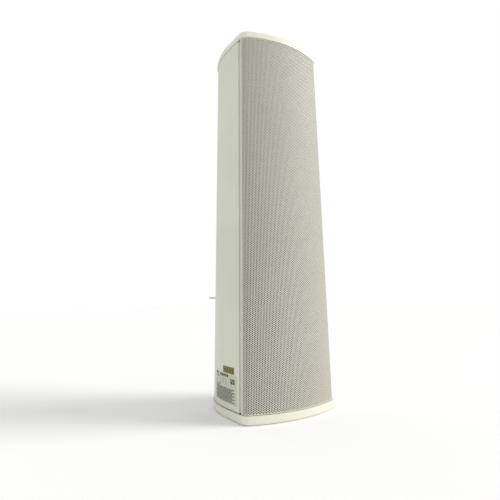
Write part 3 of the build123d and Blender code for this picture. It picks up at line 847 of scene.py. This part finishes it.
def side_patch(y_range, z_range, outer, inner, columns=6):
    """A closed block that lies on the left side between two offsets of it."""
    ys = steps(y_range[1], y_range[0], columns)
    vertices = []
    for grow in (outer, inner):
        for z in z_range:
            vertices += [(side_x(y, grow), y, z) for y in ys]
    n = columns + 1
    faces = []
    for i in range(columns):
        a, b = i, i + 1
        faces += [
            (a, b, n + b, n + a),
            (2 * n + a, 3 * n + a, 3 * n + b, 2 * n + b),
            (a, 2 * n + a, 2 * n + b, b),
            (n + a, n + b, 3 * n + b, 3 * n + a),
        ]
    last = n - 1
    faces += [(0, n, 3 * n, 2 * n), (last, 2 * n + last, 3 * n + last, n + last)]
    return vertices, faces


class SPEAKER_OT_label(bpy.types.Operator):
    """Data label and small gold plate low on the left side, printed with plain bars"""

    bl_idname = "speaker.label"
    bl_label = "Build Label"

    def execute(self, context):
        low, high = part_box("rating_label")
        mesh = joined_mesh("data_label", [side_patch((low.y, high.y), (low.z, high.z), FILM, 0.0, 14)])
        piece(mesh.name, mesh, "label_film", replaced=["rating_label"])
        chance = random.Random(7)
        bars = []
        width = high.y - low.y
        height = high.z - low.z
        # rows from the top: share of the height, bar height, first and last share of the width, dash length
        layout = [
            (0.955, 0.0030, 0.02, 0.18, 0.004),
            (0.935, 0.0034, 0.28, 0.66, 0.005),
            (0.840, 0.0012, 0.06, 0.24, 0.004),
            (0.780, 0.0008, 0.30, 0.58, 0.030),
            (0.700, 0.0008, 0.30, 0.58, 0.030),
            (0.820, 0.0030, 0.76, 0.93, 0.004),
            (0.730, 0.0030, 0.76, 0.93, 0.004),
            (0.640, 0.0026, 0.02, 0.66, 0.040),
            (0.560, 0.0011, 0.02, 0.30, 0.004),
        ]
        layout += [
            (0.49 - 0.053 * row, 0.0013, 0.02 + 0.03 * (row % 3), 0.93 - 0.09 * (row % 2), 0.0035)
            for row in range(9)
        ]
        for share, tall, first, last, dash in layout:
            z = low.z + share * height
            y = high.y - first * width
            stop = high.y - last * width
            while y > stop:
                end = max(stop, y - dash * chance.uniform(0.5, 1.5))
                bars.append(side_patch((end, y), (z - tall / 2, z + tall / 2), *PRINT, 2))
                y = end - dash * 0.25
        mesh = joined_mesh("label_bars", bars)
        piece(mesh.name, mesh, "label_print")["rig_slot"] = "label_film"
        self.plate()
        return {"FINISHED"}

    def plate(self):
        """The gold plate, printed with two rules and a row of blocks."""
        low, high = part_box("label_plate")
        mesh = joined_mesh("gold_plate", [side_patch((low.y, high.y), (low.z, high.z), FILM, 0.0, 8)])
        piece(mesh.name, mesh, "gold_film", replaced=["label_plate"])
        edge, rule, gap, half_block, inset = 0.0011, 0.0003, 0.001, 0.0012, 0.003
        front, rear = low.y + edge, high.y - edge
        foot, head = low.z + edge, high.z - edge
        rules = ((foot, foot + rule), (head - rule, head))
        bars = [side_patch((front, rear), span, *PRINT, 4) for span in rules]
        bars += [
            side_patch((y - half_block, y + half_block), (foot + gap, head - gap), *PRINT, 1)
            for y in steps(front + inset, rear - inset, 5)
        ]
        mesh = joined_mesh("plate_bars", bars)
        piece(mesh.name, mesh, "label_print")["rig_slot"] = "gold_film"


# ---- Screws and bolts ----
def carved(name, blank, tool, operation="DIFFERENCE"):
    """One mesh cut by another, or what the two share."""
    thing, cutter = temporary(name, blank), temporary("tool", tool)
    modifier = thing.modifiers.new("cut", "BOOLEAN")
    modifier.operation = operation
    modifier.solver = "EXACT"
    modifier.use_self = True
    modifier.object = cutter
    made = evaluated_mesh(thing, name)
    bpy.data.objects.remove(cutter)
    return made


def cross_recess(size, depth):
    """A cross-shaped tool that tapers towards its point, with its top just above z = 0."""
    shape = bmesh.new()
    point, arm, sunk = 0.55, 0.42, 0.4  # shares of the length, of the size and of the depth
    for turn in (0, TURN / 4):
        made = bmesh.ops.create_cube(shape, size=1.0)["verts"]
        for vertex in made:
            x, y, z = vertex.co
            taper = point if z < 0 else 1.0
            vertex.co = (x * 2 * size * taper, y * arm * size, (z - sunk) * depth)
        bmesh.ops.rotate(shape, verts=made, cent=(0, 0, 0), matrix=Matrix.Rotation(turn, 3, "Z"))
    return mesh_of(shape, "recess")


def pan_screw(head_radius, head_height, shank_radius, shank_length):
    """A pan-head cross-recess screw with thread ridges; the head's underside is at z = 0."""
    crown = [
        (head_radius * math.cos(a), head_height * (0.35 + 0.65 * math.sin(a))) for a in steps(0, TURN / 4, 6)
    ]
    thread = []
    pitch = shank_radius * 0.5
    turns = int(shank_length / pitch)
    for index in range(turns):
        z = -index * pitch
        thread += [(shank_radius, z - pitch * 0.25), (shank_radius * 0.84, z - pitch * 0.75)]
    profile = [(0, head_height)] + list(reversed(crown[:-1])) + [(head_radius, 0)]
    profile += thread + [(shank_radius * 0.5, -shank_length), (0, -shank_length - shank_radius * 0.3)]
    tool = cross_recess(head_radius * 0.55, head_height * 1.1)
    for vertex in tool.vertices:
        vertex.co.z += head_height
    made = carved("screw", mesh_of(lathe(profile, 28), "screw"), tool)
    return temporary("screw", smooth(made, 40))


def screw_set(name, node, places, turn, sizes):
    """Replaces a node of plain screws with detailed ones."""
    source = pan_screw(*sizes)
    mesh = set_on_points(name, source, places, turn, "zinc_steel")
    bpy.data.objects.remove(source)
    piece(name, mesh, "zinc_steel", replaced=[node])


class SPEAKER_OT_screws(bpy.types.Operator):
    """Cap screws and bracket screws"""

    bl_idname = "speaker.screws"
    bl_label = "Build Screws"

    def execute(self, context):
        head, head_height, shank, shank_length = 0.0036, 0.0024, 0.00195, 0.0215
        rear_screw_x = 0.05573
        low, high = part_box("bottom_cap_screws")
        spots = [
            (high.x - head, low.y + head),
            (low.x + head, low.y + head),
            (rear_screw_x, high.y - head),
            (-rear_screw_x, high.y - head),
        ]
        cap_sizes = (head, head_height, shank, shank_length)
        seat = low.z + head_height
        places = [(x, y, seat) for x, y in spots]
        screw_set("bottom_screws", "bottom_cap_screws", places, (math.pi, 0, 0), cap_sizes)
        low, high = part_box("top_cap_screws")
        places = [(x, y, high.z - head_height) for x, y in spots]
        screw_set("top_screws", "top_cap_screws", places, (0, 0, 0), cap_sizes)
        low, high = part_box("bracket_screws")
        fixing_head, fixing_height, fixing_shank, fixing_length = 0.005, 0.0032, 0.003, 0.0092
        offset = 0.022
        places = []
        for joint in frame["joints"]:
            if joint["type"] == "hinge":
                hinge = joint["pos_m"]
                places += [(hinge[0], high.y - fixing_height, hinge[2] + step) for step in (-offset, offset)]
        fixing_sizes = (fixing_head, fixing_height, fixing_shank, fixing_length)
        screw_set("fixing_screws", "bracket_screws", places, (-math.pi / 2, 0, 0), fixing_sizes)
        return {"FINISHED"}


def hex_solid(radius, height, chamfer):
    """A hexagonal head or nut blank with turned corners, standing on z = 0."""
    shape = bmesh.new()
    middle = Matrix.Translation((0, 0, height / 2))
    bmesh.ops.create_cone(
        shape, cap_ends=True, segments=6, radius1=radius, radius2=radius, depth=height, matrix=middle
    )
    end = radius * math.cos(math.radians(30)) * 0.98
    widest = radius * 1.01
    profile = [(0, 0), (end, 0), (widest, chamfer), (widest, height - chamfer), (end, height), (0, height)]
    return carved("hex", mesh_of(shape, "hex"), mesh_of(lathe(profile), "limit"), "INTERSECT")


def bolt_mesh(name, radius, head_radius, head_height, bottom, top, thread_length):
    """A hexagon bolt from its threaded end up to its head."""
    head = hex_solid(head_radius, head_height, head_height * 0.16)
    head.transform(Matrix.Translation((0, 0, top)))
    pitch, crest, root = 0.001, radius * 0.985, radius * 0.86
    profile = [(0, bottom), (radius * 0.7, bottom)]
    for index in range(int(thread_length / pitch)):
        z = bottom + (index + 0.5) * pitch
        profile += [(crest, z), (root, z + pitch / 2)]
    inside_head = top + head_height * 0.2
    profile += [(radius, bottom + thread_length + pitch), (radius, inside_head), (0, inside_head)]
    shank = lathe(profile, 32)
    shank.from_mesh(head)
    mesh = mesh_of(shank, name)
    mesh.materials.clear()
    return smooth(mesh, 30)


class SPEAKER_OT_pivots(bpy.types.Operator):
    """Pivot bolts and nuts of the two wall brackets"""

    bl_idname = "speaker.pivots"
    bl_label = "Build Pivot Bolts"

    def execute(self, context):
        radius, corner_reach, head_height, thread_length = 0.003, 0.0056, 0.004, 0.009
        bore_radius, spare = 0.0031, 0.001
        for which in ("lower", "upper"):
            low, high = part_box(f"{which}_pivot_bolt")
            nut_low, nut_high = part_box(f"{which}_pivot_nut")
            centre = (low + high) / 2
            under_head = high.z - head_height
            mesh = bolt_mesh(
                f"{which}_bolt", radius, corner_reach, head_height, low.z, under_head, thread_length
            )
            mesh.transform(Matrix.Translation((centre.x, centre.y, 0)))
            piece(mesh.name, mesh, "zinc_steel", replaced=[f"{which}_pivot_bolt"])
            height = nut_high.z - nut_low.z
            nut = hex_solid(corner_reach, height, height * 0.14)
            foot, head = -spare, height + spare
            bore = lathe([(0, foot), (bore_radius, foot), (bore_radius, head), (0, head)], 32)
            nut_mesh = smooth(carved(f"{which}_nut", nut, mesh_of(bore, "bore")), 30)
            nut_mesh.transform(Matrix.Translation((centre.x, centre.y, nut_low.z)))
            piece(nut_mesh.name, nut_mesh, "zinc_steel", replaced=[f"{which}_pivot_nut"])
        return {"FINISHED"}


# ---- Wadding ----
class SPEAKER_OT_wadding(bpy.types.Operator):
    """Loose fibre wadding behind the drivers"""

    bl_idname = "speaker.wadding"
    bl_label = "Build Wadding"

    def execute(self, context):
        low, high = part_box("damping_wadding")
        centre, half = (low + high) / 2, (high - low) / 2
        shape = bmesh.new()
        bmesh.ops.create_cube(shape, size=2.0)
        bmesh.ops.subdivide_edges(shape, edges=shape.edges, cuts=22, use_grid_fill=True)
        chance = random.Random(11)
        wave_count, ripple, swell = 14, 160, 0.06
        ball, block, slack = 0.18, 0.82, 0.97  # shares of the rounded shape, and how far it fills its space
        waves = [
            (Vector([chance.uniform(-1, 1) for _ in range(3)]) * ripple, chance.uniform(0, TURN))
            for _ in range(wave_count)
        ]
        for vertex in shape.verts:
            unit = vertex.co.copy()
            rounded = unit.normalized() * ball + unit * block
            spot = Vector((rounded.x * half.x, rounded.y * half.y, rounded.z * half.z)) * slack
            lump = sum(math.sin(direction.dot(spot) + phase) for direction, phase in waves) / len(waves)
            vertex.co = centre + spot * (1 + swell * lump)
        mesh = mesh_of(shape, "fibre_wadding")
        made = piece("fibre_wadding", smooth(mesh, 180), "wadding_fibre", replaced=["damping_wadding"])
        return {"FINISHED"}


# ---- Finish on the parts that keep their own shape ----
class SPEAKER_OT_finish(bpy.types.Operator):
    """Gives every part that keeps its own shape its finish"""

    bl_idname = "speaker.finish"
    bl_label = "Apply Finishes"

    def execute(self, context):
        slots = {row["node"]: row["material_slot"] for row in frame["record"]["subparts"]}
        for name, node in frame["nodes"].items():
            made = finish(slots[name])
            if not node.material_slots:
                node.data.materials.append(made)
            for place in node.material_slots:
                place.material = made
        return {"FINISHED"}


# ---- Stage ----
def sun_light(name, direction, strength, angle, tint):
    """Soft even light that comes from a direction."""
    data = bpy.data.lights.new(name, "SUN")
    data.energy, data.angle, data.color = strength, math.radians(angle), tint
    made = bpy.data.objects.new(name, data)
    made.rotation_euler = Vector(direction).to_track_quat("Z", "Y").to_euler()
    bpy.context.scene.collection.objects.link(made)


class SPEAKER_OT_stage(bpy.types.Operator):
    """Pale floor, soft studio light and the camera"""

    bl_idname = "speaker.stage"
    bl_label = "Build Stage"

    def execute(self, context):
        reach = 6
        corners = [(-reach, -reach, 0), (reach, -reach, 0), (reach, reach, 0), (-reach, reach, 0)]
        mesh = mesh_from("floor", corners, [(0, 1, 2, 3)])
        floor = temporary("floor", mesh)
        tree, shader = material("floor_paper")
        tint = noise(tree, object_coordinates(tree), 3.0, 2.0)
        paper = mixed(tree, tint, (0.93, 0.93, 0.93, 1.0), (0.95, 0.95, 0.95, 1.0))
        feed(tree, shader, {"Base Color": paper, "Roughness": 0.9})
        mesh.materials.append(finish("floor_paper"))
        self.sky(context)
        context.scene.view_settings.view_transform = "Standard"
        sun_light("key", direction=(1.8, -1.2, 1.2), strength=2.15, angle=30.0, tint=(1.0, 0.99, 0.96))
        self.camera(context)
        return {"FINISHED"}

    def sky(self, context):
        """Soft white light from all round, in front of a white backdrop."""
        world = bpy.data.worlds.new("studio")
        world.use_nodes = True
        tree = world.node_tree
        soft = tree.nodes["Background"]
        white = (1.0, 1.0, 1.0, 1.0)
        feed(tree, soft, {"Color": white, "Strength": 0.74})
        backdrop = add_node(tree, "ShaderNodeBackground", {"Color": white, "Strength": 1.0})[0]
        seen = add_node(tree, "ShaderNodeLightPath")["Is Camera Ray"]
        either = add_node(tree, "ShaderNodeMixShader", {0: seen, 1: soft.outputs[0], 2: backdrop})[0]
        feed(tree, tree.nodes["World Output"], {"Surface": either})
        context.scene.world = world

    def camera(self, context):
        """Low viewpoint to the left of the front, looking slightly up."""
        data = bpy.data.cameras.new("view")
        data.sensor_width = 36.0
        data.lens = 28.8
        data.shift_x = -0.0187
        data.shift_y = -0.1214
        made = bpy.data.objects.new("view", data)
        made.location = (-0.3533, -0.5244, 0.1551)
        made.rotation_euler = Euler([math.radians(a) for a in (104.93, 0.87, -32.57)])
        context.scene.collection.objects.link(made)
        context.scene.camera = made


# ---- Panel, registration and the build ----
OPERATORS = (
    SPEAKER_OT_finish,
    SPEAKER_OT_grille,
    SPEAKER_OT_cloth,
    SPEAKER_OT_label,
    SPEAKER_OT_screws,
    SPEAKER_OT_pivots,
    SPEAKER_OT_wadding,
    SPEAKER_OT_stage,
)


class SPEAKER_PT_panel(bpy.types.Panel):
    """Lists the loudspeaker's settings and build steps"""

    bl_idname = "SPEAKER_PT_panel"
    bl_label = "Loudspeaker"
    bl_space_type = "VIEW_3D"
    bl_region_type = "UI"
    bl_category = "Loudspeaker"

    def draw(self, context):
        scene = context.scene
        for settings in (scene.speaker_column, scene.speaker_grille, scene.speaker_colours):
            box = self.layout.box()
            for name in settings.bl_rna.properties.keys():
                if name not in {"rna_type", "name"}:
                    box.prop(settings, name)
        for operator in OPERATORS:
            self.layout.operator(operator.bl_idname)


CLASSES = (ColumnSizes, GrilleSizes, FinishColours, *OPERATORS, SPEAKER_PT_panel)


def register():
    for kind in CLASSES:
        bpy.utils.register_class(kind)
    bpy.types.Scene.speaker_column = bpy.props.PointerProperty(type=ColumnSizes)
    bpy.types.Scene.speaker_grille = bpy.props.PointerProperty(type=GrilleSizes)
    bpy.types.Scene.speaker_colours = bpy.props.PointerProperty(type=FinishColours)


def unregister():
    for name in ("speaker_column", "speaker_grille", "speaker_colours"):
        delattr(bpy.types.Scene, name)
    for kind in reversed(CLASSES):
        bpy.utils.unregister_class(kind)


def main():
    register()
    finishes()
    bpy.ops.speaker.finish()
    bpy.ops.speaker.grille()
    bpy.ops.speaker.cloth()
    bpy.ops.speaker.label()
    bpy.ops.speaker.screws()
    bpy.ops.speaker.pivots()
    bpy.ops.speaker.wadding()
    bpy.ops.speaker.stage()


if __name__ == "__main__":
    main()
